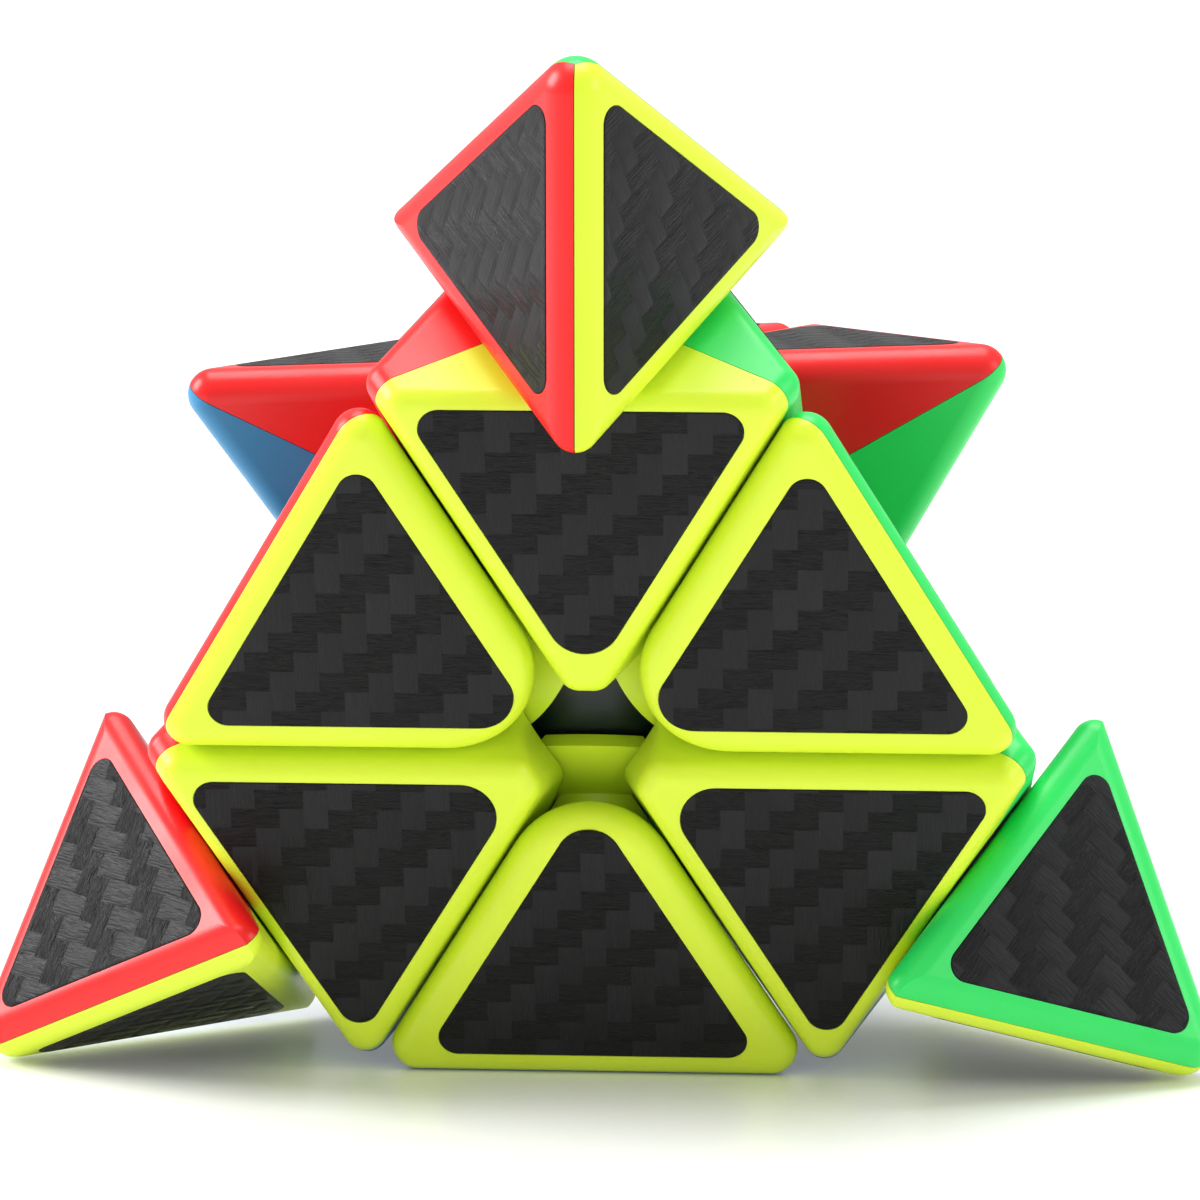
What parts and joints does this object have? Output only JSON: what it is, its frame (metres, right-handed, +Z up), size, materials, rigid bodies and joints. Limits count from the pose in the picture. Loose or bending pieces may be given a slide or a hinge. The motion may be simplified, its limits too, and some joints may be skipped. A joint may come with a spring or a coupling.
{
  "type": "pyramid twisty puzzle",
  "caption": "Four-sided twisty puzzle with turning corner tips, a back layer turned part way, hollow coloured shells and black woven-pattern triangular facets.",
  "frame": {"origin": "on the ground, under the middle of the object's bounding box as it stands", "axes": "+Z up; +X along the bottom edge between the two lower tips, to the right as seen from the front; the front face looks towards -Y and slightly down"},
  "size_m": [0.098, 0.093, 0.0826],
  "materials": {
    "yellow_plastic": "satin",
    "red_plastic": "satin",
    "green_plastic": "satin",
    "blue_plastic": "satin",
    "carbon_sticker": "embossed weave",
    "core_black": "matte",
    "sleeve_black": "matte",
    "hub_black": "satin",
    "steel": "plated"
  },
  "bodies": {
    "slab": {"axial_left_blue_shell": "blue_plastic", "axial_left_red_shell": "red_plastic", "axial_left_sleeve": "sleeve_black", "axial_left_stickers": "carbon_sticker", "axial_left_yellow_shell": "yellow_plastic", "axial_right_blue_shell": "blue_plastic", "axial_right_green_shell": "green_plastic", "axial_right_sleeve": "sleeve_black", "axial_right_stickers": "carbon_sticker", "axial_right_yellow_shell": "yellow_plastic", "axial_top_green_shell": "green_plastic", "axial_top_red_shell": "red_plastic", "axial_top_sleeve": "sleeve_black", "axial_top_stickers": "carbon_sticker", "axial_top_yellow_shell": "yellow_plastic", "core_screws": "steel", "core_spider": "core_black", "core_springs": "steel", "core_washers": "steel", "edge_front_stickers": "carbon_sticker", "edge_left_right_blue_half": "blue_plastic", "edge_left_right_yellow_half": "yellow_plastic", "edge_top_left_red_half": "red_plastic", "edge_top_left_yellow_half": "yellow_plastic", "edge_top_right_green_half": "green_plastic", "edge_top_right_yellow_half": "yellow_plastic"},
    "back_layer": {"axial_back_blue_shell": "blue_plastic", "axial_back_green_shell": "green_plastic", "axial_back_red_shell": "red_plastic", "axial_back_sleeve": "sleeve_black", "axial_back_stickers": "carbon_sticker", "edge_back_left_blue_half": "blue_plastic", "edge_back_left_red_half": "red_plastic", "edge_back_right_blue_half": "blue_plastic", "edge_back_right_green_half": "green_plastic", "edge_back_stickers": "carbon_sticker", "edge_back_top_green_half": "green_plastic", "edge_back_top_red_half": "red_plastic"},
    "tip_top": {"tip_top_green_shell": "green_plastic", "tip_top_hub": "hub_black", "tip_top_red_shell": "red_plastic", "tip_top_stickers": "carbon_sticker", "tip_top_yellow_shell": "yellow_plastic"},
    "tip_left": {"tip_left_blue_shell": "blue_plastic", "tip_left_hub": "hub_black", "tip_left_red_shell": "red_plastic", "tip_left_stickers": "carbon_sticker", "tip_left_yellow_shell": "yellow_plastic"},
    "tip_right": {"tip_right_blue_shell": "blue_plastic", "tip_right_green_shell": "green_plastic", "tip_right_hub": "hub_black", "tip_right_stickers": "carbon_sticker", "tip_right_yellow_shell": "yellow_plastic"},
    "tip_back": {"tip_back_blue_shell": "blue_plastic", "tip_back_green_shell": "green_plastic", "tip_back_hub": "hub_black", "tip_back_red_shell": "red_plastic", "tip_back_stickers": "carbon_sticker"}
  },
  "joints": [
    {"name": "back_layer_turn", "type": "hinge", "parent": "slab", "child": "back_layer", "pos_m": [0, -0.01061, 0.03397], "axis": [0, 0.9593, 0.2823], "continuous": true},
    {"name": "tip_top_turn", "type": "hinge", "parent": "slab", "child": "tip_top", "pos_m": [0, -0.01061, 0.03397], "axis": [0, -0.586, 0.8103], "continuous": true},
    {"name": "tip_left_turn", "type": "hinge", "parent": "slab", "child": "tip_left", "pos_m": [0, -0.01061, 0.03397], "axis": [-0.8165, -0.1867, -0.5463], "continuous": true},
    {"name": "tip_right_turn", "type": "hinge", "parent": "slab", "child": "tip_right", "pos_m": [0, -0.01061, 0.03397], "axis": [0.8165, -0.1867, -0.5463], "continuous": true},
    {"name": "tip_back_turn", "type": "hinge", "parent": "back_layer", "child": "tip_back", "pos_m": [0, -0.01061, 0.03397], "axis": [0, 0.9593, 0.2823], "continuous": true}
  ]
}
